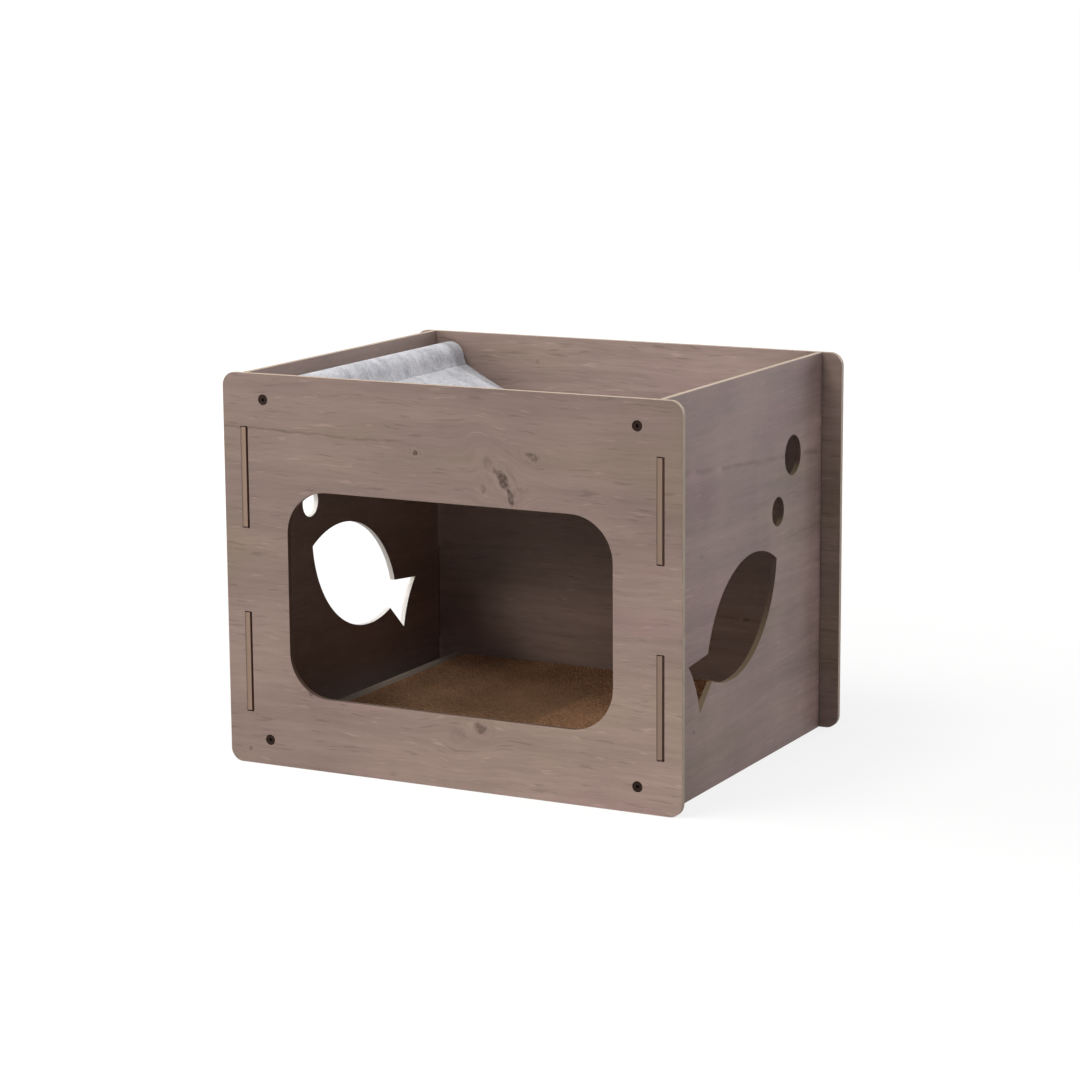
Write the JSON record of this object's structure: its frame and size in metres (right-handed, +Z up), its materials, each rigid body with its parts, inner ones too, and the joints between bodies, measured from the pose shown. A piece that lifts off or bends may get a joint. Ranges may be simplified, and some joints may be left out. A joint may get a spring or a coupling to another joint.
{
  "type": "cat condo",
  "caption": "Open-topped cat condo of slotted wood-print boards on tie rods, with a round-cornered door, fish cut-outs in the sides, a plush hammock on top and loose corrugated scratch pads.",
  "frame": {"origin": "on the ground, under the middle of the box", "axes": "+Z up, +X to the right seen from the front, front with the door towards -Y"},
  "size_m": [0.45, 0.352, 0.355],
  "materials": {
    "laminate": "matte",
    "dowel": "matte",
    "black_steel": "satin",
    "zinc": "satin",
    "plush": "matte",
    "corrugated": "matte"
  },
  "bodies": {
    "carcass": {"front_panel": "laminate", "back_panel": "laminate", "left_panel": "laminate", "right_panel": "laminate", "upper_left_rod": "dowel", "upper_right_rod": "dowel", "lower_left_rod": "dowel", "lower_right_rod": "dowel", "front_screws": "black_steel", "back_screws": "black_steel", "front_inserts": "zinc", "back_inserts": "zinc", "hammock": "plush"},
    "left_pad": {"left_scratch_pad": "corrugated"},
    "right_pad": {"right_scratch_pad": "corrugated"}
  },
  "joints": [
    {"name": "left_pad_lift", "type": "slide", "parent": "carcass", "child": "left_pad", "axis": [0, 0, 1], "range_m": [0, 0.12]},
    {"name": "right_pad_lift", "type": "slide", "parent": "carcass", "child": "right_pad", "axis": [0, 0, 1], "range_m": [0, 0.12]}
  ]
}
